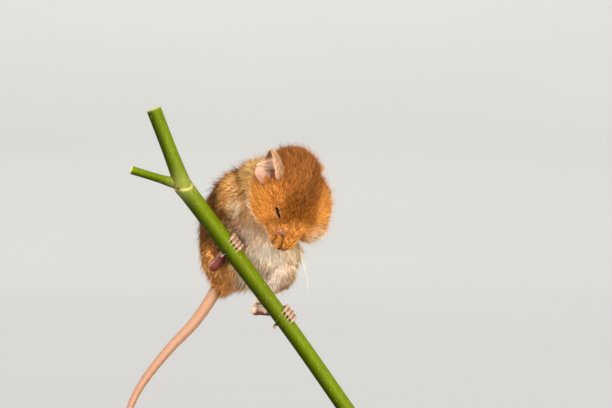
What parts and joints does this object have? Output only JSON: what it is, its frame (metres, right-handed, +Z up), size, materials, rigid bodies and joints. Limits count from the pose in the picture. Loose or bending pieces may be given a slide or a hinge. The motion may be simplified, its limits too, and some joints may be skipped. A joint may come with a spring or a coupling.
{
  "type": "harvest mouse, life-size still model on a stem and stand",
  "caption": "Life-size model of a harvest mouse asleep with its head bowed, holding a cut plant stem with its hind feet, on a plain display stand.",
  "frame": {"origin": "on the underside of the stand's base, 5 mm in front of its middle, straight below the middle of the animal and in the plane of the stem", "axes": "+Z up, +X to the right as the picture shows the animal, +Y away from the viewer, so the stem slopes down towards +X in the plane y = 0 and the crown of the bowed head faces -Y"},
  "size_m": [0.084, 0.054, 0.0829],
  "materials": {
    "coat": "short, soft fur, orange brown above and cream below",
    "bare_skin": "thin, pale pink skin, matt with a slight sheen",
    "eye": "wet, black and glossy",
    "stem": "smooth, waxy green bark with pale specks",
    "stand_base": "dark stained wood, satin",
    "stand_rod": "brushed"
  },
  "bodies": {
    "root": {"head": "coat", "neck": "coat", "torso": "coat", "foreleg_right": "coat", "foreleg_left": "coat", "hindleg_right": "coat", "hindleg_left": "coat", "ear_right": "bare_skin", "ear_left": "bare_skin", "forefoot_right": "bare_skin", "forefoot_left": "bare_skin", "hindfoot_right": "bare_skin", "hindfoot_left": "bare_skin", "tail_1": "bare_skin", "tail_2": "bare_skin", "tail_3": "bare_skin", "tail_4": "bare_skin", "eye_right": "eye", "eye_left": "eye", "stem": "stem", "stand_base": "stand_base", "stand_rod": "stand_rod"}
  },
  "joints": []
}
